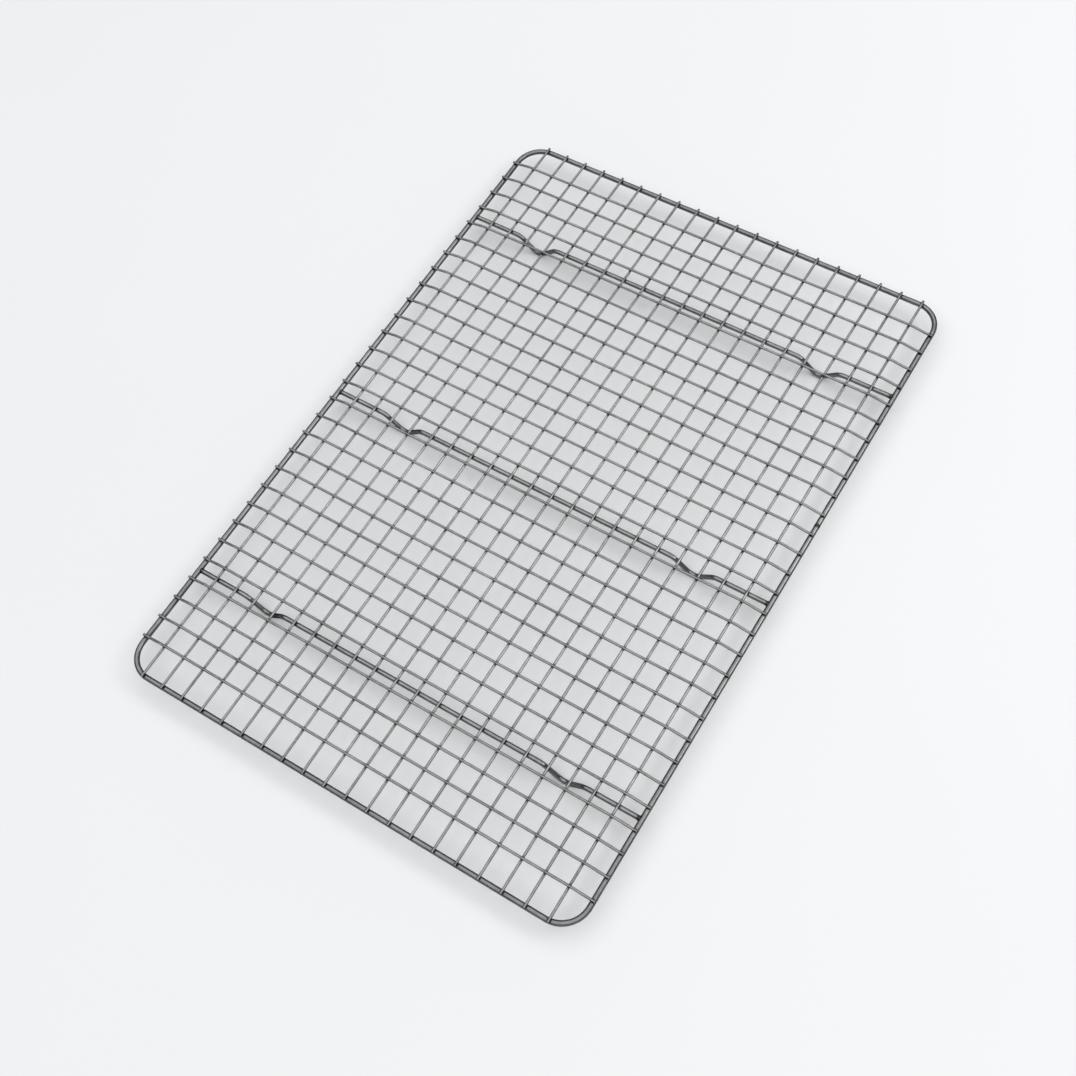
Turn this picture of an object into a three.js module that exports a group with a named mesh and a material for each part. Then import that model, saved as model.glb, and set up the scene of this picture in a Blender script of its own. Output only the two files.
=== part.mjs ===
// Wire cooling rack: a heavy rim frame, a square mesh of thin wires in two layers on top of it, and
// three heavy braces below, each bent down into two V-shaped feet. The rack is held together only by
// resistance welds where two wires meet.
//
// Millimetres, +Z up, origin on the surface that the feet stand on, under the middle of the rack.
// X runs along the long sides and Y along the short sides.
import * as THREE from 'three';

// Driving dimensions
const RACK_HEIGHT = 15.4; // feet to the top of the mesh
const GRID_PITCH = 13.85; // the mesh is square
const LONG_WIRE_COUNT = 20;
const CROSS_WIRE_COUNT = 29;
const SIDE_GAP = 13.85; // outermost long wire to the middle of the rim
const END_GAP = 19.2; // outermost cross wire to the middle of the rim

const RIM_WIRE = 3.2; // wire diameters
const BRACE_WIRE = 2.8;
const GRID_WIRE = 1.5;
const RIM_CORNER = 16; // bend radius at the middle of the wire
const WELD_GAP = 0.03; // between the faces of two wires that are welded together

const DIP_INNER = 10.8; // where a cross wire leaves the mesh level, measured from the middle of the rim
const DIP_OUTER = 3; // where it has come down to the rim's level
const DIP_BEND = 8; // radius of both bends

const FOOT_OFFSET = 7.1 * GRID_PITCH; // middle of a foot from the rack's long centre line
const FOOT_SLOPE = THREE.MathUtils.degToRad(42); // of a foot's two legs
const FOOT_BEND = 6; // radii at the middle of the brace wire
const SHOULDER_BEND = 8;

const ALONG_X = new THREE.Vector2(1, 0);
const ALONG_Y = new THREE.Vector2(0, 1);

const RIM_STRAIGHTS = [
  { name: 'rim_side_front', along: ALONG_X, across: new THREE.Vector2(0, -1) },
  { name: 'rim_side_back', along: ALONG_X, across: new THREE.Vector2(0, 1) },
  { name: 'rim_end_left', along: ALONG_Y, across: new THREE.Vector2(-1, 0) },
  { name: 'rim_end_right', along: ALONG_Y, across: new THREE.Vector2(1, 0) },
];

const RIM_CORNERS = [
  { name: 'rim_corner_front_left', signX: -1, signY: -1 },
  { name: 'rim_corner_front_right', signX: 1, signY: -1 },
  { name: 'rim_corner_back_left', signX: -1, signY: 1 },
  { name: 'rim_corner_back_right', signX: 1, signY: 1 },
];

const BRACES = [
  { name: 'leg_brace_left', x: -10.5 * GRID_PITCH },
  { name: 'leg_brace_middle', x: -0.5 * GRID_PITCH },
  { name: 'leg_brace_right', x: 10.5 * GRID_PITCH },
];

// How finely the round shapes are faceted
const WIRE_SIDES = 8;
const RIM_CORNER_STEPS = 6;
const FOOT_STEPS = 3; // odd, so the foot's lowest facet is level
const SHOULDER_STEPS = 2;
const DIP_STEPS = 1;

// Half sizes of the rim, to the middle of its wire
const RIM_HALF_X = (CROSS_WIRE_COUNT - 1) * GRID_PITCH / 2 + END_GAP;
const RIM_HALF_Y = (LONG_WIRE_COUNT - 1) * GRID_PITCH / 2 + SIDE_GAP;

// Heights of the middles of the wires, worked down from the top of the mesh
const CROSS_LEVEL = RACK_HEIGHT - GRID_WIRE / 2;
const LONG_LEVEL = CROSS_LEVEL - GRID_WIRE - WELD_GAP;
const SEAT_LEVEL = LONG_LEVEL - GRID_WIRE / 2 - WELD_GAP; // top of the rim and of the braces
const RIM_LEVEL = SEAT_LEVEL - RIM_WIRE / 2;
const BRACE_LEVEL = SEAT_LEVEL - BRACE_WIRE / 2;

// Where a foot's two straight legs would meet below its bend, when the bend's level facet stands on Z = 0
const FOOT_FACET = FOOT_SLOPE / FOOT_STEPS; // half the turn of one facet
const FOOT_BEND_CENTRE = (BRACE_WIRE / 2 + FOOT_BEND) * Math.cos(FOOT_FACET);
const FOOT_APEX = FOOT_BEND_CENTRE - FOOT_BEND / Math.cos(FOOT_SLOPE);
const FOOT_HALF_WIDTH = (BRACE_LEVEL - FOOT_APEX) / Math.tan(FOOT_SLOPE);

const RIM_COLOUR = 0x6f7173;
const BRACE_COLOUR = 0x7d7f81;
const LONG_COLOUR = 0xa9abad;
const CROSS_COLOUR = 0x8f9193;
const HEAVY_ROUGHNESS = 0.36; // of the rim and the braces
const GRID_ROUGHNESS = 0.33;

function plate(color, roughness) {
  return new THREE.MeshStandardMaterial({ color, roughness, metalness: 1 });
}

// A wire's route: stations with a point and a direction, so that straight stretches need no extra stations.
class WireRoute extends THREE.Curve {
  constructor(stations) {
    super();
    this.stations = stations;
  }

  getSpacedPoints() {
    return this.stations.map((station) => station.point);
  }

  getTangentAt(u, target = new THREE.Vector3()) {
    const index = Math.round(u * (this.stations.length - 1));
    return target.copy(this.stations[index].direction);
  }
}

// Stations round one bend, steps + 1 of them: from the end of the straight before it to the start of
// the next.
function bendStations(before, corner, after, radius, steps) {
  const inward = corner.clone().sub(before).normalize();
  const outward = after.clone().sub(corner).normalize();
  const turn = inward.angleTo(outward);
  const side = outward.clone().addScaledVector(inward, -Math.cos(turn)).normalize();
  const start = corner.clone().addScaledVector(inward, -radius * Math.tan(turn / 2));
  const stations = [];
  for (let step = 0; step <= steps; step += 1) {
    const angle = turn * step / steps;
    const point = start.clone().addScaledVector(inward, radius * Math.sin(angle));
    point.addScaledVector(side, radius * (1 - Math.cos(angle)));
    const direction = inward.clone().multiplyScalar(Math.cos(angle));
    direction.addScaledVector(side, Math.sin(angle));
    stations.push({ point, direction });
  }
  return stations;
}

// A route through corner points. All but the first and the last are rounded by a bend of their own.
function wireRoute(corners) {
  const last = corners.length - 1;
  const firstDirection = corners[1].at.clone().sub(corners[0].at).normalize();
  const lastDirection = corners[last].at.clone().sub(corners[last - 1].at).normalize();
  const stations = [{ point: corners[0].at, direction: firstDirection }];
  for (let index = 1; index < last; index += 1) {
    const { at, radius, steps } = corners[index];
    const before = corners[index - 1].at;
    const after = corners[index + 1].at;
    stations.push(...bendStations(before, at, after, radius, steps));
  }
  stations.push({ point: corners[last].at, direction: lastDirection });
  return new WireRoute(stations);
}

// An eight-sided section with a flat side facing each way, as wide across its flats as the wire is
// thick.
function wireSection(diameter) {
  const cornerRadius = diameter / 2 / Math.cos(Math.PI / WIRE_SIDES);
  const corners = [];
  for (let side = 0; side < WIRE_SIDES; side += 1) {
    const angle = 2 * Math.PI * (side + 0.5) / WIRE_SIDES;
    corners.push(new THREE.Vector2(cornerRadius * Math.cos(angle), cornerRadius * Math.sin(angle)));
  }
  return new THREE.Shape(corners);
}

function wire(name, route, diameter, material) {
  const geometry = new THREE.ExtrudeGeometry(wireSection(diameter), {
    steps: route.stations.length - 1,
    extrudePath: route,
  });
  const mesh = new THREE.Mesh(geometry, material);
  mesh.name = name;
  return mesh;
}

function numbered(stem, index) {
  return `${stem}_${String(index + 1).padStart(2, '0')}`;
}

// The rim is one wire bent round four corners and butt welded into a loop. It is modelled as its four
// straights and four bends, so that each piece is a simple shape.
function rimStraight({ name, along, across }) {
  const half = new THREE.Vector3(
    along.x * (RIM_HALF_X - RIM_CORNER - WELD_GAP),
    along.y * (RIM_HALF_Y - RIM_CORNER - WELD_GAP),
    0,
  );
  const route = wireRoute([{ at: half.clone().negate() }, { at: half }]);
  const mesh = wire(name, route, RIM_WIRE, plate(RIM_COLOUR, HEAVY_ROUGHNESS));
  mesh.position.set(across.x * RIM_HALF_X, across.y * RIM_HALF_Y, RIM_LEVEL);
  return mesh;
}

function rimCorner({ name, signX, signY }) {
  const corner = new THREE.Vector3(signX * RIM_HALF_X, signY * RIM_HALF_Y, 0);
  const before = new THREE.Vector3(0, corner.y, 0);
  const after = new THREE.Vector3(corner.x, 0, 0);
  const route = new WireRoute(bendStations(before, corner, after, RIM_CORNER, RIM_CORNER_STEPS));
  const mesh = wire(name, route, RIM_WIRE, plate(RIM_COLOUR, HEAVY_ROUGHNESS));
  mesh.position.z = RIM_LEVEL;
  return mesh;
}

// A long wire: straight, with both ends on top of the rim and flush with its outer side.
function longWire(index) {
  const end = RIM_HALF_X + RIM_WIRE / 2;
  const route = wireRoute([
    { at: new THREE.Vector3(-end, 0, 0) },
    { at: new THREE.Vector3(end, 0, 0) },
  ]);
  const material = plate(LONG_COLOUR, GRID_ROUGHNESS);
  const mesh = wire(numbered('long_wire', index), route, GRID_WIRE, material);
  mesh.position.y = ((LONG_WIRE_COUNT - 1) / 2 - index) * GRID_PITCH;
  mesh.position.z = LONG_LEVEL;
  return mesh;
}

// A cross wire: it lies on the long wires and dips at both ends, past the last of them, onto the rim.
function crossWire(index) {
  const dip = LONG_LEVEL - CROSS_LEVEL;
  const end = RIM_HALF_Y + RIM_WIRE / 2;
  const outer = RIM_HALF_Y - DIP_OUTER;
  const inner = RIM_HALF_Y - DIP_INNER;
  const stops = [[-end, dip], [-outer, dip], [-inner, 0], [inner, 0], [outer, dip], [end, dip]];
  const bend = { radius: DIP_BEND, steps: DIP_STEPS };
  const corners = stops.map(([y, z]) => ({ at: new THREE.Vector3(0, y, z), ...bend }));
  const material = plate(CROSS_COLOUR, GRID_ROUGHNESS);
  const mesh = wire(numbered('cross_wire', index), wireRoute(corners), GRID_WIRE, material);
  mesh.position.x = (index - (CROSS_WIRE_COUNT - 1) / 2) * GRID_PITCH;
  mesh.position.z = CROSS_LEVEL;
  return mesh;
}

// A brace: it runs under the long wires from one side of the rim to the other, with two feet bent into it.
function legBrace({ name, x }) {
  const end = RIM_HALF_Y - RIM_WIRE / 2 - WELD_GAP;
  const shoulder = { radius: SHOULDER_BEND, steps: SHOULDER_STEPS };
  const corners = [{ at: new THREE.Vector3(0, -end, BRACE_LEVEL) }];
  for (const middle of [-FOOT_OFFSET, FOOT_OFFSET]) {
    corners.push({ at: new THREE.Vector3(0, middle - FOOT_HALF_WIDTH, BRACE_LEVEL), ...shoulder });
    corners.push({ at: new THREE.Vector3(0, middle, FOOT_APEX), radius: FOOT_BEND, steps: FOOT_STEPS });
    corners.push({ at: new THREE.Vector3(0, middle + FOOT_HALF_WIDTH, BRACE_LEVEL), ...shoulder });
  }
  corners.push({ at: new THREE.Vector3(0, end, BRACE_LEVEL) });
  const mesh = wire(name, wireRoute(corners), BRACE_WIRE, plate(BRACE_COLOUR, HEAVY_ROUGHNESS));
  mesh.position.x = x;
  return mesh;
}

const rack = new THREE.Group();
for (const side of RIM_STRAIGHTS) {
  rack.add(rimStraight(side));
}
for (const corner of RIM_CORNERS) {
  rack.add(rimCorner(corner));
}
for (const brace of BRACES) {
  rack.add(legBrace(brace));
}
for (let index = 0; index < LONG_WIRE_COUNT; index += 1) {
  rack.add(longWire(index));
}
for (let index = 0; index < CROSS_WIRE_COUNT; index += 1) {
  rack.add(crossWire(index));
}

export default rack;
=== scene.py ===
"""Looks of a wire cooling rack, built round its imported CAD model.

Metres, +Z up, in the CAD model's own frame: X runs along the rack's long sides, and Z = 0 is the surface
that it stands on. Every CAD wire is replaced by a round, smooth one with its welds, cut ends and plated
finish. The parts of the script are its measures, middle lines, meshes, finishes, the rack and the studio.
"""
import math
import random

import bpy
import numpy as np
from mathutils import Matrix, Vector


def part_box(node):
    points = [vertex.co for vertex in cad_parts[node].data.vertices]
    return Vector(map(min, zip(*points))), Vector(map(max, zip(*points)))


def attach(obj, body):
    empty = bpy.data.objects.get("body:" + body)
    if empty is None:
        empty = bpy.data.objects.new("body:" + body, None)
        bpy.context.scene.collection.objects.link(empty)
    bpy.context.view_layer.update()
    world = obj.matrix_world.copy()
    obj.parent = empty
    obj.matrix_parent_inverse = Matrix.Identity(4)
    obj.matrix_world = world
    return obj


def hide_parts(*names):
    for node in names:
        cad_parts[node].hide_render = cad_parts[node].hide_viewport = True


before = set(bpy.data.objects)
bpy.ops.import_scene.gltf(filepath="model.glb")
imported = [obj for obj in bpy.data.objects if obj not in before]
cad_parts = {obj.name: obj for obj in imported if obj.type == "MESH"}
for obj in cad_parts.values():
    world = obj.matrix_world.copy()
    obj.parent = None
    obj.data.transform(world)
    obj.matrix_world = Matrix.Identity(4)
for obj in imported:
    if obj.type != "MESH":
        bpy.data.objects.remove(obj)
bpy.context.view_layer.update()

MM = 0.001
SEED = 41
GRAIN_SHIFT = 10  # metres, the most that a wire's drawing lines are moved along it

# The bends of the braces and the cross wires, as in the CAD model
FOOT_CELLS = 7.1  # mesh cells from the rack's long centre line to the middle of a foot
FOOT_SLOPE = math.radians(42)
FOOT_BEND = 6 * MM
SHOULDER_BEND = 8 * MM
DIP_INNER = 10.8 * MM  # where a cross wire starts down towards the rim, from the middle of the rim
DIP_OUTER = 3 * MM
DIP_BEND = 8 * MM

# Wires are not perfectly straight, nor cut perfectly to length
WIRE_SWAY = 0.10 * MM
WIRE_SHIFT = 0.08 * MM
CUT_SHORT = 0.25 * MM
SWAY_WAVES = 3
SWAY_SHARES = (0.3, 1)  # of the full sway, in one wave
SWAY_PHASES = (0, 6.28)
SWAY_TURNS = (1, 2.6)  # waves in a wire's length

# Sheared ends, as shares of the wire's radius
CUT_BEVEL = 0.16
CUT_DOME = 0.05
CUT_UNEVEN = 0.25  # how much one side of the bevel is sharper than the other

# Flats that the electrodes leave on the side away from each weld
PRESS_DEPTH = 0.07 * MM
PRESS_REACH = 1.1 * MM

# Collars of weld metal between two wires that cross
NECK_SPREAD = 0.76  # as a share of the radii
NECK_WIDEST = 1.5  # the other wire's radius never counts as more than this many of its own
NECK_WAIST = 0.14
NECK_SINK = 0.04 * MM
NECK_WOBBLE = 0.05
NECK_LOBES = 3
NECK_SIDES = 12
NECK_RINGS = 5

# Weld beads where a brace ends at the rim, and the flash of the rim's own butt weld
BRACE_BITE = 0.6 * MM  # how far a brace's ends are melted into the rim
BEAD_HEIGHT = 0.30 * MM
BEAD_FADE = 0.5 * MM
BEAD_LOW_TOP = 0.7  # how much lower the bead is on the upper side
BEAD_WOBBLE = 0.15
BEAD_TURN = 6  # radians, the most that its lobes are turned
FLASH_HEIGHT = 0.13 * MM
FLASH_WIDTH = 0.45 * MM
FLASH_WOBBLE = 0.4
SEAM_LOBES = 3
SEAM_POINTS = 12
SEAM_WIRE = 18  # cross wires from the left end up to the rim's butt weld
FAR_FROM_WELDS = 9.0  # mm, the largest distance that a mesh stores

# How finely the wires are drawn
MESH_SIDES = 14
HEAVY_SIDES = 24
RIM_STEP = 9 * MM  # along straights
WIRE_STEP = 7 * MM
RIM_TURN = 0.09  # along bends, in radians
BRACE_TURN = 0.1
DIP_TURN = 0.08
SEARCH_STEP = 1 * MM
SEARCH_TURN = 0.1
WELD_STATIONS = (-2.8, -1.7, -1.1, -0.55, 0, 0.55, 1.1, 1.7, 2.8)  # about a weld, in mm
FLASH_STATIONS = (0, 0.25, 0.5, 0.8, 1.2, 2)  # from the rim's butt weld, in mm
BEAD_STATIONS = (0, 0.3, 0.6, 0.8, 1.0, 1.3, 1.7, 2.2, 3)  # from a brace's end, in mm
CLOSEST_STATIONS = 0.12 * MM
END_CLEARANCE = 0.4 * MM  # no weld station is nearer to a wire's end
SHARP_ANGLE = math.radians(40)

ALONG_X = Vector((1, 0, 0))
ALONG_Y = Vector((0, 1, 0))
UP = Vector((0, 0, 1))

dice = random.Random(SEED)


# --- measures of the CAD model --------------------------------------------------------------------

def middle(node):
    low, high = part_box(node)
    return (low + high) / 2


def thickness(node, axis):
    low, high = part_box(node)
    return high[axis] - low[axis]


LONG_NODES = sorted(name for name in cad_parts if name.startswith("long_wire_"))
CROSS_NODES = sorted(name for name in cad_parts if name.startswith("cross_wire_"))
BRACE_NODES = ["leg_brace_left", "leg_brace_middle", "leg_brace_right"]
RIM_NODES = sorted(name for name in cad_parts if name.startswith("rim_"))

GRID_RADIUS = thickness(LONG_NODES[0], 2) / 2
LONG_Z = middle(LONG_NODES[0]).z
CROSS_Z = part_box(CROSS_NODES[0])[1].z - GRID_RADIUS
LONG_YS = [middle(name).y for name in LONG_NODES]
CROSS_XS = [middle(name).x for name in CROSS_NODES]

RIM_RADIUS = thickness("rim_side_front", 2) / 2
RIM_Z = middle("rim_side_front").z
RIM_X = middle("rim_end_right").x
RIM_Y = middle("rim_side_back").y
RIM_CORNER = thickness("rim_corner_back_right", 0) - RIM_RADIUS

BRACE_RADIUS = thickness("leg_brace_left", 0) / 2
BRACE_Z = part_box("leg_brace_left")[1].z - BRACE_RADIUS
BRACE_XS = [middle(name).x for name in BRACE_NODES]


# --- middle lines ---------------------------------------------------------------------------------

class Path:
    """A wire's middle line: straights joined by round bends. Distances run from its start."""

    def __init__(self, corners, bends, plane_normal):
        self.plane_normal = plane_normal
        self.parts = []
        self.length = 0.0
        place = corners[0]
        for index, bend in enumerate(bends):
            corner = corners[index + 1]
            inward = (corner - corners[index]).normalized()
            outward = (corners[index + 2] - corner).normalized()
            turn = inward.angle(outward)
            start = corner - inward * bend * math.tan(turn / 2)
            self.add_straight(place, start)
            side = (outward - inward * math.cos(turn)).normalized()
            self.parts.append((self.length, bend, start, inward, side))
            self.length += bend * turn
            place = corner + outward * bend * math.tan(turn / 2)
        self.add_straight(place, corners[-1])

    def add_straight(self, start, end):
        self.parts.append((self.length, 0, start, (end - start).normalized(), None))
        self.length += (end - start).length

    def at(self, distance):
        """The point and the direction at a distance from the start."""
        begin, bend, start, forward, side = self.parts[0]
        for part in self.parts:
            if part[0] > distance:
                break
            begin, bend, start, forward, side = part
        if not bend:
            return start + forward * (distance - begin), forward
        angle = (distance - begin) / bend
        point = start + forward * bend * math.sin(angle) + side * bend * (1 - math.cos(angle))
        return point, forward * math.cos(angle) + side * math.sin(angle)

    def stations(self, straight_step, bend_step):
        """Distances close enough together to draw every straight and every bend."""
        found = []
        ends = [part[0] for part in self.parts[1:]] + [self.length]
        for part, end in zip(self.parts, ends):
            begin, bend = part[0], part[1]
            step = bend * bend_step if bend else straight_step
            count = max(1, math.ceil((end - begin) / step))
            found += [begin + (end - begin) * index / count for index in range(count)]
        return found + [self.length]

    def nearest(self, target):
        """The distance at which the line passes closest to a point."""
        stations = self.stations(SEARCH_STEP, SEARCH_TURN)
        best = min(stations, key=lambda distance: (self.at(distance)[0] - target).length)
        point, forward = self.at(best)
        return best + forward.dot(target - point)


# --- meshes ---------------------------------------------------------------------------------------

class Shell:
    """Vertices and faces of one piece, with the coordinates that its finish needs."""

    def __init__(self):
        self.points = []
        self.grain = []
        self.faces = []

    def ring(self, points, grain):
        first = len(self.points)
        self.points += points
        self.grain += grain
        return list(range(first, first + len(points)))

    def skin(self, rings, closed=False):
        """Joins rings of the same number of points, each to the next."""
        pairs = list(zip(rings, rings[1:]))
        if closed:
            pairs.append((rings[-1], rings[0]))
        for lower, upper in pairs:
            for here in range(len(lower)):
                after = (here + 1) % len(lower)
                self.faces.append((lower[here], lower[after], upper[after], upper[here]))

    def cap(self, ring, outward):
        """Closes a ring with triangles round a slightly domed middle."""
        centre = sum((self.points[index] for index in ring), Vector()) / len(ring) + outward
        middle_index = self.ring([centre], [self.grain[ring[0]]])[0]
        for here in range(len(ring)):
            self.faces.append((ring[here], ring[(here + 1) % len(ring)], middle_index))

    def lid(self, ring, flip=False):
        self.faces.append(tuple(reversed(ring)) if flip else tuple(ring))


class Weld:
    """Where a wire is welded to another: the distance along it, and the direction to the other wire."""

    def __init__(self, distance, towards):
        self.distance = distance
        self.towards = towards


def sweep(shell, path, radius, sides, distances, welds=(), lean=None, swell=None, closed=False):
    """A round wire along a path. Returns its rings."""
    grain_start = dice.uniform(0, GRAIN_SHIFT)
    rings = []
    for distance in distances:
        point, forward = path.at(distance)
        across = path.plane_normal
        above = across.cross(forward)
        if lean:
            point = point + across * lean(distance)
        pressed = [(weld.towards, press(distance - weld.distance)) for weld in welds]
        pressed = [(towards, depth) for towards, depth in pressed if depth > 0]
        ring, grain = [], []
        for side in range(sides):
            angle = 2 * math.pi * side / sides
            offset = above * math.cos(angle) + across * math.sin(angle)
            offset *= swell(distance, angle) if swell else radius
            for towards, depth in pressed:
                beyond = -offset.dot(towards) - (radius - depth)
                if beyond > 0:
                    offset += towards * beyond
            ring.append(point + offset)
            grain.append((distance + grain_start, radius * math.cos(angle), radius * math.sin(angle)))
        rings.append(shell.ring(ring, grain))
    shell.skin(rings, closed)
    return rings


def press(gap):
    """How deep the electrode's flat is at this distance from the middle of a weld."""
    return PRESS_DEPTH * (1 - (gap / PRESS_REACH) ** 2)


def neck(shell, contact, upper_axis, upper_radius, lower_axis, lower_radius):
    """The weld metal squeezed out between two wires that cross: a waisted collar that fits both."""
    upper_reach = NECK_SPREAD * min(lower_radius, NECK_WIDEST * upper_radius)
    lower_reach = NECK_SPREAD * min(upper_radius, NECK_WIDEST * lower_radius)
    turn = dice.uniform(0, math.pi)
    grain_start = dice.uniform(0, GRAIN_SHIFT)
    rings = []
    for level in range(NECK_RINGS):
        share = level / (NECK_RINGS - 1)
        waist = 1 - NECK_WAIST * math.sin(math.pi * share)
        ring, grain = [], []
        for side in range(NECK_SIDES):
            angle = 2 * math.pi * side / NECK_SIDES
            wobble = 1 + NECK_WOBBLE * math.sin(NECK_LOBES * angle + turn)
            along_upper = upper_reach * math.cos(angle) * wobble
            along_lower = lower_reach * math.sin(angle) * wobble
            top = upper_radius - math.sqrt(upper_radius ** 2 - along_lower ** 2) + NECK_SINK
            bottom = math.sqrt(lower_radius ** 2 - along_upper ** 2) - lower_radius - NECK_SINK
            height = bottom + (top - bottom) * share
            offset = upper_axis * along_upper * waist + lower_axis * along_lower * waist
            ring.append(contact + offset + UP * height)
            grain.append((grain_start + along_upper, along_lower, height))
        rings.append(shell.ring(ring, grain))
    if upper_axis.cross(lower_axis).z < 0:
        for ring in rings:
            ring.reverse()
    shell.skin(rings)
    shell.lid(rings[0], flip=True)
    shell.lid(rings[-1])


def piece(name, shell, contacts, finish, nodes):
    """Makes the object, with each vertex's distance from the nearest weld, and hands it to the frame."""
    mesh = bpy.data.meshes.new(name)
    mesh.from_pydata([tuple(point) for point in shell.points], [], shell.faces)
    mesh.shade_smooth()
    mesh.set_sharp_from_angle(angle=SHARP_ANGLE)
    points = np.array([tuple(point) for point in shell.points])
    nearest = np.full(len(points), FAR_FROM_WELDS)
    for contact in contacts:
        gap = np.linalg.norm(points - np.array(contact), axis=1) / MM
        nearest = np.minimum(nearest, gap)
    weld_distance = mesh.attributes.new("weld_distance", "FLOAT", "POINT")
    weld_distance.data.foreach_set("value", nearest.astype(np.float32))
    wire_grain = mesh.attributes.new("wire_grain", "FLOAT_VECTOR", "POINT")
    wire_grain.data.foreach_set("vector", np.array(shell.grain, np.float32).ravel())
    mesh.materials.append(finish)
    mesh.validate()
    thing = bpy.data.objects.new(name, mesh)
    bpy.context.scene.collection.objects.link(thing)
    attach(thing, "root")
    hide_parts(*nodes)
    return thing


def seam_contacts(centre, across, above, radius):
    """Points round a butt joint, for a weld that runs all the way round a wire."""
    found = []
    for step in range(SEAM_POINTS):
        angle = 2 * math.pi * step / SEAM_POINTS
        found.append(centre + (across * math.cos(angle) + above * math.sin(angle)) * radius)
    return found


def weld_stations(path, welds):
    found = []
    for weld in welds:
        found += [weld.distance + step * MM for step in WELD_STATIONS]
    last = path.length - END_CLEARANCE
    return [distance for distance in found if END_CLEARANCE < distance < last]


def end_stations(path, steps):
    """Distances near a path's start, and the same ones near its end."""
    near_start = [step * MM for step in steps]
    return near_start + [path.length - distance for distance in near_start]


def merged(distances):
    """Sorted, without stations that nearly meet."""
    kept = []
    for distance in sorted(distances):
        if not kept or distance - kept[-1] > CLOSEST_STATIONS:
            kept.append(distance)
    return kept


def cut_wire(shell, path, radius, sides, distances, welds, lean):
    """A wire with sheared, slightly rounded ends."""
    bevel = CUT_BEVEL * radius
    dome = CUT_DOME * radius

    def swell(distance, angle):
        from_end = min(distance, path.length - distance)
        if from_end >= bevel:
            return radius
        return radius - (bevel - from_end) * (1 - CUT_UNEVEN + CUT_UNEVEN * math.cos(angle + radius))

    body = [distance for distance in distances if bevel < distance < path.length - bevel]
    stations = [0, bevel / 2, bevel, *body, path.length - bevel, path.length - bevel / 2, path.length]
    rings = sweep(shell, path, radius, sides, stations, welds, lean, swell)
    first = path.at(0)[1]
    last = path.at(path.length)[1]
    shell.cap(list(reversed(rings[0])), first * -dome)
    shell.cap(rings[-1], last * dome)


def swaying(length):
    """How far a wire lies beside its true line, along its length."""
    shift = dice.uniform(-WIRE_SHIFT, WIRE_SHIFT)
    waves = []
    for _ in range(SWAY_WAVES):
        height = dice.uniform(*SWAY_SHARES) * WIRE_SWAY
        waves.append((height, dice.uniform(*SWAY_PHASES), dice.uniform(*SWAY_TURNS)))

    def lean(distance):
        total = shift
        for height, phase, turns in waves:
            total += height / 2 * math.sin(phase + 2 * math.pi * turns * distance / length)
        return total

    return lean


# --- finishes -------------------------------------------------------------------------------------

DRAWING_LINES = (70, 5200, 5200)  # per metre along the wire and across it
CLOUDS_PER_METRE = 260.0
PATCHES_PER_METRE = 38.0
SPECKS_PER_METRE = 5200.0

# How much the noises change the lightness, as shares of the way from the dark to the light metal
CLOUD_LIGHTNESS = 0.35
PATCH_LIGHTNESS = (-0.1, 0.35)

# How much they change the roughness, and how much rougher the metal is at a weld, within so many mm
CLOUD_ROUGHNESS = (-0.05, 0.07)
LINE_ROUGHNESS = (-0.04, 0.05)
WELD_ROUGHNESS = 0.18
WELD_ROUGH_WITHIN = (0.7, 1.8)

SPECK_HEIGHT = 0.35  # against the drawing lines
BUMP_STRENGTH = 0.35
BUMP_DEPTH = 0.02 * MM
EDGE_TINT = (0.06, 0.06, 0.065, 1)  # dims what the metal reflects at a glancing angle
MARKS_RAGGED = 0.35  # mm that the clouds move the edges of the heat tint and painted shade round the welds
# Blue and straw heat tint round the welds is the metal's own. The near-black inner ring is painted shade:
# the shadow that one wire casts on another where they cross.
HEAT_TINT_AND_SHADE_MARKS = [  # full strength within so many mm of a weld, none beyond so many, strength, colour
    (1.8, 2.8, 0.30, (0.10, 0.11, 0.14, 1)),
    (1.3, 2.1, 0.50, (0.13, 0.11, 0.085, 1)),
    (0.9, 1.5, 0.90, (0.030, 0.028, 0.027, 1)),
]


def node(tree, kind, inputs=None, **settings):
    """A shader node with its settings; an input is a constant, or the socket to link it to."""
    made = tree.nodes.new(kind)
    for name, value in settings.items():
        setattr(made, name, value)
    for name, value in (inputs or {}).items():
        if isinstance(value, bpy.types.NodeSocket):
            tree.links.new(value, made.inputs[name])
        else:
            made.inputs[name].default_value = value
    return made


def stretched(tree, vector, scale):
    mapped = node(tree, "ShaderNodeMapping", {"Vector": vector, "Scale": scale})
    return mapped.outputs["Vector"]


def noise(tree, vector, scale, detail=2.0, roughness=0.5):
    made = node(tree, "ShaderNodeTexNoise", {
        "Vector": vector,
        "Scale": scale,
        "Detail": detail,
        "Roughness": roughness,
    })
    return made.outputs["Fac"]


def remap(tree, value, from_low, from_high, to_low, to_high, interpolation="LINEAR"):
    made = node(tree, "ShaderNodeMapRange", {
        "Value": value,
        "From Min": from_low,
        "From Max": from_high,
        "To Min": to_low,
        "To Max": to_high,
    }, interpolation_type=interpolation)
    return made.outputs["Result"]


def added(tree, first, second):
    made = node(tree, "ShaderNodeMath", {0: first, 1: second}, operation="ADD")
    return made.outputs["Value"]


def mixed(tree, share, first, second):
    made = node(tree, "ShaderNodeMix", data_type="RGBA")
    for socket, value in ((0, share), (6, first), (7, second)):
        if isinstance(value, bpy.types.NodeSocket):
            tree.links.new(value, made.inputs[socket])
        else:
            made.inputs[socket].default_value = value
    return made.outputs[2]


def grey(level, blue):
    """A nearly neutral metal colour."""
    return (level * 0.99, level, level * blue, 1)


def spread(tree, value, to_low, to_high):
    """A noise's middle range, spread over new limits."""
    return remap(tree, value, 0.3, 0.7, to_low, to_high)


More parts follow.
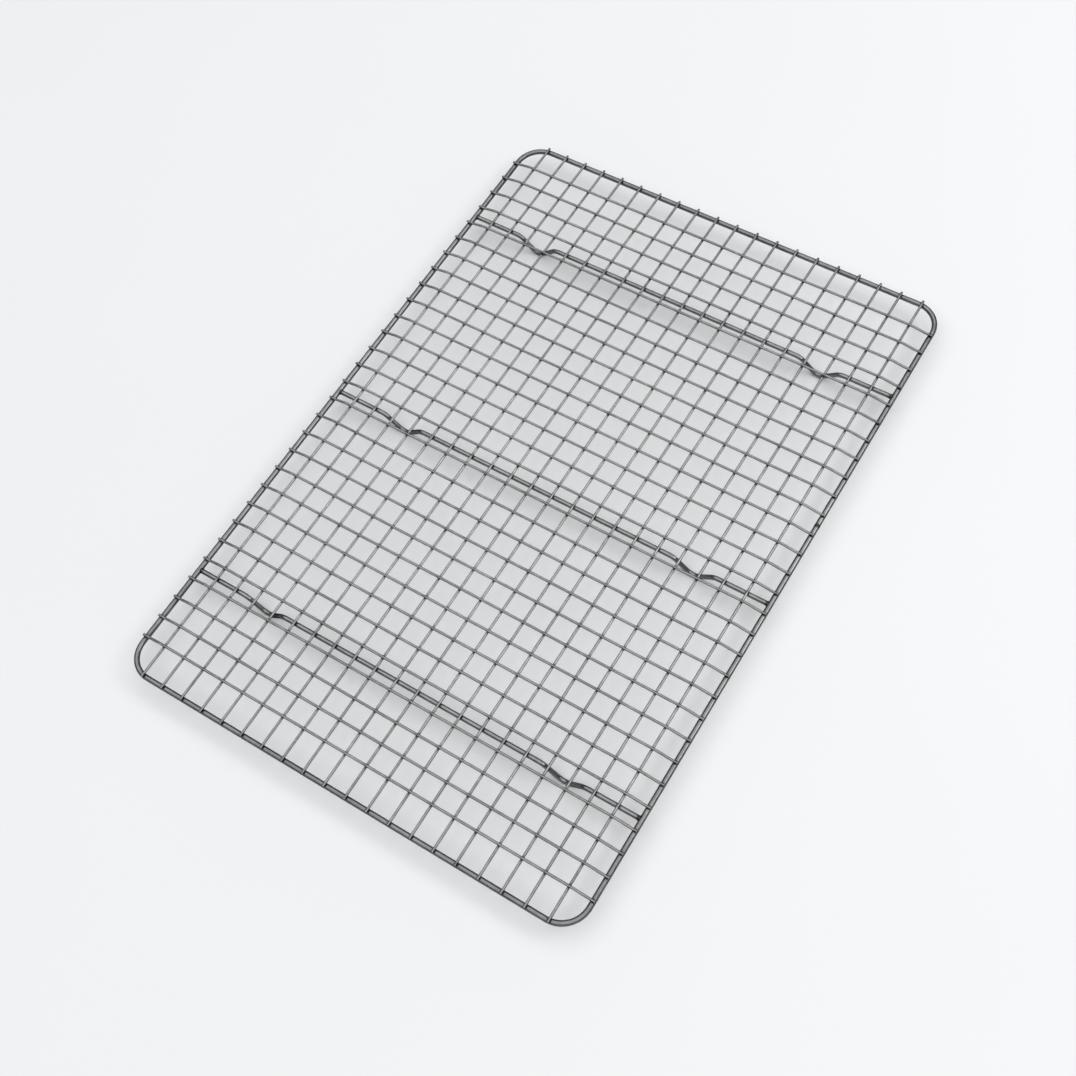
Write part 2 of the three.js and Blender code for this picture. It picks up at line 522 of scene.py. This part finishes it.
def heat_tint_and_painted_shade(tree, metal, weld_gap):
    """The metal's colour with the marks round each weld, from the widest and faintest inwards: real heat
    tint outside, painted shade in the near-black middle.
    """
    colour = metal
    for inner, outer, strength, mark in HEAT_TINT_AND_SHADE_MARKS:
        colour = mixed(tree, remap(tree, weld_gap, inner, outer, strength, 0.0), colour, mark)
    return colour


def plated_steel(name, dark, light, roughness, streaks):
    """Satin plated drawn steel: drawing lines along the wire, cloudy plating, heat tint and painted shade
    at the welds.
    """
    material = bpy.data.materials.new(name)
    material.use_nodes = True
    tree = material.node_tree
    shader = tree.nodes["Principled BSDF"]
    grain = node(tree, "ShaderNodeAttribute", attribute_name="wire_grain").outputs["Vector"]
    weld_gap = node(tree, "ShaderNodeAttribute", attribute_name="weld_distance").outputs["Fac"]
    place = node(tree, "ShaderNodeTexCoord").outputs["Object"]

    lines = noise(tree, stretched(tree, grain, DRAWING_LINES), 1.0, detail=3.0, roughness=0.6)
    clouds = noise(tree, place, CLOUDS_PER_METRE, detail=4.0, roughness=0.6)
    patches = noise(tree, place, PATCHES_PER_METRE, detail=3.0, roughness=0.55)
    specks = noise(tree, place, SPECKS_PER_METRE, detail=2.0, roughness=0.6)
    ragged_gap = added(tree, weld_gap, spread(tree, clouds, -MARKS_RAGGED, MARKS_RAGGED))

    lightness = added(tree, spread(tree, lines, 0.0, streaks), spread(tree, clouds, 0.0, CLOUD_LIGHTNESS))
    lightness = added(tree, lightness, spread(tree, patches, *PATCH_LIGHTNESS))
    metal = mixed(tree, lightness, grey(dark, blue=1.02), grey(light, blue=1.01))
    # Base colour with heat tint round each weld, and painted shade, near black, right at each weld.
    tree.links.new(heat_tint_and_painted_shade(tree, metal, ragged_gap), shader.inputs["Base Color"])

    smoother, rougher = CLOUD_ROUGHNESS
    rough = spread(tree, clouds, roughness + smoother, roughness + rougher)
    rough = added(tree, rough, spread(tree, lines, *LINE_ROUGHNESS))
    rough = added(tree, rough, remap(tree, ragged_gap, *WELD_ROUGH_WITHIN, WELD_ROUGHNESS, 0.0))
    tree.links.new(rough, shader.inputs["Roughness"])

    height = added(tree, remap(tree, lines, 0.2, 0.8, 0.0, 1.0), spread(tree, specks, 0.0, SPECK_HEIGHT))
    bump = node(tree, "ShaderNodeBump", {
        "Strength": BUMP_STRENGTH,
        "Distance": BUMP_DEPTH,
        "Height": height,
    })
    tree.links.new(bump.outputs["Normal"], shader.inputs["Normal"])
    shader.inputs["Metallic"].default_value = 1.0
    shader.inputs["Specular Tint"].default_value = EDGE_TINT
    return material


RIM_FINISH = plated_steel("rim_plating", dark=0.09, light=0.20, roughness=0.20, streaks=0.35)
BRACE_FINISH = plated_steel("brace_plating", dark=0.10, light=0.235, roughness=0.20, streaks=0.40)
MESH_FINISH = plated_steel("mesh_plating", dark=0.125, light=0.28, roughness=0.20, streaks=0.40)


# --- the rack -------------------------------------------------------------------------------------

GRID_PITCH = LONG_YS[0] - LONG_YS[1]
FOOT_OFFSET = FOOT_CELLS * GRID_PITCH
FOOT_APEX = BRACE_RADIUS + FOOT_BEND - FOOT_BEND / math.cos(FOOT_SLOPE)
FOOT_HALF_WIDTH = (BRACE_Z - FOOT_APEX) / math.tan(FOOT_SLOPE)
SHOULDER_REACH = SHOULDER_BEND * math.tan(FOOT_SLOPE / 2)

MESH_CONTACT_Z = (CROSS_Z + LONG_Z) / 2
RIM_CONTACT_Z = (LONG_Z - GRID_RADIUS + RIM_Z + RIM_RADIUS) / 2
BRACE_CONTACT_Z = (LONG_Z - GRID_RADIUS + BRACE_Z + BRACE_RADIUS) / 2


def touches_brace(y):
    """Whether a brace is level, and so welded, under a long wire."""
    return abs(abs(y) - FOOT_OFFSET) > FOOT_HALF_WIDTH + SHOULDER_REACH


def rim_path():
    """Round the rack from its butt weld, which is on the front side between two cross wires."""
    seam_x = (CROSS_XS[SEAM_WIRE - 1] + CROSS_XS[SEAM_WIRE]) / 2
    start = Vector((seam_x, -RIM_Y, RIM_Z))
    corners = [
        start,
        Vector((RIM_X, -RIM_Y, RIM_Z)),
        Vector((RIM_X, RIM_Y, RIM_Z)),
        Vector((-RIM_X, RIM_Y, RIM_Z)),
        Vector((-RIM_X, -RIM_Y, RIM_Z)),
        start,
    ]
    return Path(corners, [RIM_CORNER] * 4, UP)


def make_rim():
    """One wire bent round four corners and butt welded into a loop, with a thin flash left by the weld."""
    path = rim_path()
    welds, contacts = [], []
    for y_side in (-1, 1):
        for x in CROSS_XS:
            welds.append(Weld(path.nearest(Vector((x, y_side * RIM_Y, RIM_Z))), UP))
            contacts.append(Vector((x, y_side * RIM_Y, RIM_CONTACT_Z)))
        for x in BRACE_XS:
            contacts += seam_contacts(brace_joint(x, y_side), ALONG_X, UP, BRACE_RADIUS)
    for x_side in (-1, 1):
        for y in LONG_YS:
            welds.append(Weld(path.nearest(Vector((x_side * RIM_X, y, RIM_Z))), UP))
            contacts.append(Vector((x_side * RIM_X, y, RIM_CONTACT_Z)))
    contacts += seam_contacts(path.at(0)[0], ALONG_Y, UP, RIM_RADIUS)

    def swell(distance, angle):
        gap = min(distance, path.length - distance)
        flash = FLASH_HEIGHT * math.exp(-(gap / FLASH_WIDTH) ** 2)
        return RIM_RADIUS + flash * (1 + FLASH_WOBBLE * math.sin(SEAM_LOBES * angle + 1))

    shell = Shell()
    near_flash = end_stations(path, FLASH_STATIONS)
    distances = merged(path.stations(RIM_STEP, RIM_TURN) + weld_stations(path, welds) + near_flash)
    while path.length - distances[-1] < CLOSEST_STATIONS:
        distances.pop()
    sweep(shell, path, RIM_RADIUS, HEAVY_SIDES, distances, welds, swell=swell, closed=True)
    piece("rim", shell, contacts, RIM_FINISH, RIM_NODES)


def brace_joint(x, y_side):
    """Where the middle of a brace meets the inner side of the rim."""
    return Vector((x, y_side * (RIM_Y - RIM_RADIUS), BRACE_Z))


def brace_path(x):
    end = RIM_Y - RIM_RADIUS + BRACE_BITE
    corners, bends = [Vector((x, -end, BRACE_Z))], []
    for centre in (-FOOT_OFFSET, FOOT_OFFSET):
        corners.append(Vector((x, centre - FOOT_HALF_WIDTH, BRACE_Z)))
        corners.append(Vector((x, centre, FOOT_APEX)))
        corners.append(Vector((x, centre + FOOT_HALF_WIDTH, BRACE_Z)))
        bends += [SHOULDER_BEND, FOOT_BEND, SHOULDER_BEND]
    corners.append(Vector((x, end, BRACE_Z)))
    return Path(corners, bends, ALONG_X)


def make_brace(name, x):
    """A heavy wire under the mesh, bent down into two feet, its ends welded to the inside of the rim."""
    path = brace_path(x)
    seats = [y for y in LONG_YS if touches_brace(y)]
    welds = [Weld(path.nearest(Vector((x, y, BRACE_Z))), UP) for y in seats]
    contacts = [Vector((x, y, BRACE_CONTACT_Z)) for y in seats]
    for y_side in (-1, 1):
        contacts += seam_contacts(brace_joint(x, y_side), ALONG_X, UP, BRACE_RADIUS)
    bead_turn = dice.uniform(0, BEAD_TURN)

    def swell(distance, angle):
        from_rim = min(distance, path.length - distance) - BRACE_BITE
        bead = BEAD_HEIGHT * math.exp(-max(0, from_rim) / BEAD_FADE)
        lower_top = BEAD_LOW_TOP * max(0, math.cos(angle))
        wobble = BEAD_WOBBLE * math.sin(SEAM_LOBES * angle + bead_turn)
        return BRACE_RADIUS + bead * (1 - lower_top + wobble)

    shell = Shell()
    beads = end_stations(path, BEAD_STATIONS)
    distances = merged(path.stations(WIRE_STEP, BRACE_TURN) + weld_stations(path, welds) + beads)
    distances[-1] = path.length
    rings = sweep(shell, path, BRACE_RADIUS, HEAVY_SIDES, distances, welds, swell=swell)
    shell.lid(rings[0], flip=True)
    shell.lid(rings[-1])
    piece(name, shell, contacts, BRACE_FINISH, [name])


def make_long_wire(name, y):
    """A straight wire of the mesh, on top of the rim and the braces and under the cross wires."""
    end = RIM_X + RIM_RADIUS
    start = Vector((-end + dice.uniform(0, CUT_SHORT), y, LONG_Z))
    stop = Vector((end - dice.uniform(0, CUT_SHORT), y, LONG_Z))
    path = Path([start, stop], [], ALONG_Y)
    lean = swaying(path.length)
    leans[name] = lambda x: lean(x - start.x)
    shell = Shell()
    supports = [(-RIM_X, RIM_RADIUS, RIM_CONTACT_Z), (RIM_X, RIM_RADIUS, RIM_CONTACT_Z)]
    if touches_brace(y):
        supports += [(x, BRACE_RADIUS, BRACE_CONTACT_Z) for x in BRACE_XS]
    welds, contacts = [], []
    for x, radius, z in supports:
        contact = Vector((x, y + lean(x - start.x), z))
        welds.append(Weld(x - start.x, -UP))
        contacts.append(contact)
        neck(shell, contact, ALONG_X, GRID_RADIUS, ALONG_Y, radius)
    for x in CROSS_XS:
        welds.append(Weld(x - start.x, UP))
        contacts.append(Vector((x, y + lean(x - start.x), MESH_CONTACT_Z)))
    distances = merged(path.stations(WIRE_STEP, DIP_TURN) + weld_stations(path, welds))
    cut_wire(shell, path, GRID_RADIUS, MESH_SIDES, distances, welds, lean)
    piece(name, shell, contacts, MESH_FINISH, [name])


def make_cross_wire(name, x):
    """A wire of the mesh on top of the long ones, bent down at both ends onto the rim."""
    end = RIM_Y + RIM_RADIUS
    stops = [
        (-end + dice.uniform(0, CUT_SHORT), LONG_Z),
        (-RIM_Y + DIP_OUTER, LONG_Z),
        (-RIM_Y + DIP_INNER, CROSS_Z),
        (RIM_Y - DIP_INNER, CROSS_Z),
        (RIM_Y - DIP_OUTER, LONG_Z),
        (end - dice.uniform(0, CUT_SHORT), LONG_Z),
    ]
    path = Path([Vector((x, y, z)) for y, z in stops], [DIP_BEND] * 4, ALONG_X)
    lean = swaying(path.length)
    shell = Shell()
    welds, contacts = [], []
    for y_side in (-1, 1):
        distance = path.nearest(Vector((x, y_side * RIM_Y, LONG_Z)))
        contact = Vector((x + lean(distance), y_side * RIM_Y, RIM_CONTACT_Z))
        welds.append(Weld(distance, -UP))
        contacts.append(contact)
        neck(shell, contact, ALONG_Y, GRID_RADIUS, ALONG_X, RIM_RADIUS)
    for long_name, y in zip(LONG_NODES, LONG_YS):
        distance = path.nearest(Vector((x, y, CROSS_Z)))
        contact = Vector((x + lean(distance), y + leans[long_name](x), MESH_CONTACT_Z))
        welds.append(Weld(distance, -UP))
        contacts.append(contact)
        neck(shell, contact, ALONG_Y, GRID_RADIUS, ALONG_X, GRID_RADIUS)
    distances = merged(path.stations(WIRE_STEP, DIP_TURN) + weld_stations(path, welds))
    cut_wire(shell, path, GRID_RADIUS, MESH_SIDES, distances, welds, lean)
    piece(name, shell, contacts, MESH_FINISH, [name])


leans = {}
make_rim()
for brace_name, brace_x in zip(BRACE_NODES, BRACE_XS):
    make_brace(brace_name, brace_x)
for wire_name, wire_y in zip(LONG_NODES, LONG_YS):
    make_long_wire(wire_name, wire_y)
for wire_name, wire_x in zip(CROSS_NODES, CROSS_XS):
    make_cross_wire(wire_name, wire_x)


# --- floor, light and camera ----------------------------------------------------------------------

def make_floor():
    reach = 12.0
    corners = [(-reach, -reach, 0), (reach, -reach, 0), (reach, reach, 0), (-reach, reach, 0)]
    mesh = bpy.data.meshes.new("floor")
    mesh.from_pydata(corners, [], [(0, 1, 2, 3)])
    material = bpy.data.materials.new("pale_floor")
    material.use_nodes = True
    tree = material.node_tree
    shader = tree.nodes["Principled BSDF"]
    place = node(tree, "ShaderNodeTexCoord").outputs["Object"]
    darker, lighter = (0.565, 0.566, 0.567, 1), (0.585, 0.586, 0.587, 1)
    shade = mixed(tree, noise(tree, place, 3.0), darker, lighter)
    tree.links.new(shade, shader.inputs["Base Color"])
    shader.inputs["Roughness"].default_value = 0.65
    shader.inputs["Specular IOR Level"].default_value = 0.25
    mesh.materials.append(material)
    floor = bpy.data.objects.new("floor", mesh)
    bpy.context.scene.collection.objects.link(floor)


def softbox(name, place, target, size, watts):
    data = bpy.data.lights.new(name, "AREA")
    data.shape = "RECTANGLE"
    data.size, data.size_y = size
    data.energy = watts
    lamp = bpy.data.objects.new(name, data)
    lamp.location = place
    lamp.rotation_euler = (Vector(target) - Vector(place)).to_track_quat("-Z", "Y").to_euler()
    bpy.context.scene.collection.objects.link(lamp)


def make_world(horizon, band, overhead):
    """A pale backdrop up to well above the horizon, a dark band over it, and a big soft light overhead.

    Heights are the upward parts of a direction of length 1.
    """
    world = bpy.data.worlds.new("studio")
    world.use_nodes = True
    tree = world.node_tree
    direction = node(tree, "ShaderNodeTexCoord").outputs["Generated"]
    height = node(tree, "ShaderNodeSeparateXYZ", {"Vector": direction}).outputs["Z"]
    backdrop_top, band_low, band_high, light_edge = 0.30, 0.38, 0.48, 0.74
    low = remap(tree, height, backdrop_top, band_low, horizon, band, "SMOOTHSTEP")
    high = remap(tree, height, band_high, light_edge, 0, overhead - band, "SMOOTHSTEP")
    backdrop = tree.nodes["Background"]
    backdrop.inputs["Color"].default_value = (0.98, 0.99, 1.0, 1)
    tree.links.new(added(tree, low, high), backdrop.inputs["Strength"])
    bpy.context.scene.world = world


def make_camera():
    """At the photo's viewing angle: where it is, what it looks at, and its roll about its own axis."""
    place = Vector((-0.3293, -0.2743, 0.7369))
    aim = Vector((-0.0340, -0.0137, 0.0120))
    roll = math.radians(-10.82)
    forward = (aim - place).normalized()
    level = forward.cross(UP).normalized()
    right = level * math.cos(roll) + level.cross(forward) * math.sin(roll)
    turn = Matrix((right, right.cross(forward), -forward)).transposed()
    data = bpy.data.cameras.new("camera")
    data.lens = 49.03
    data.sensor_width = 36
    data.clip_start = 0.01
    camera = bpy.data.objects.new("camera", data)
    camera.matrix_world = Matrix.Translation(place) @ turn.to_4x4()
    bpy.context.scene.collection.objects.link(camera)
    bpy.context.scene.camera = camera


make_floor()
make_world(horizon=0.84, band=0.05, overhead=2.1)
softbox("key", place=(0.70, -1.25, 1.25), target=(0, 0, 0), size=(0.9, 0.6), watts=9)
make_camera()
bpy.context.scene.view_settings.view_transform = "Standard"
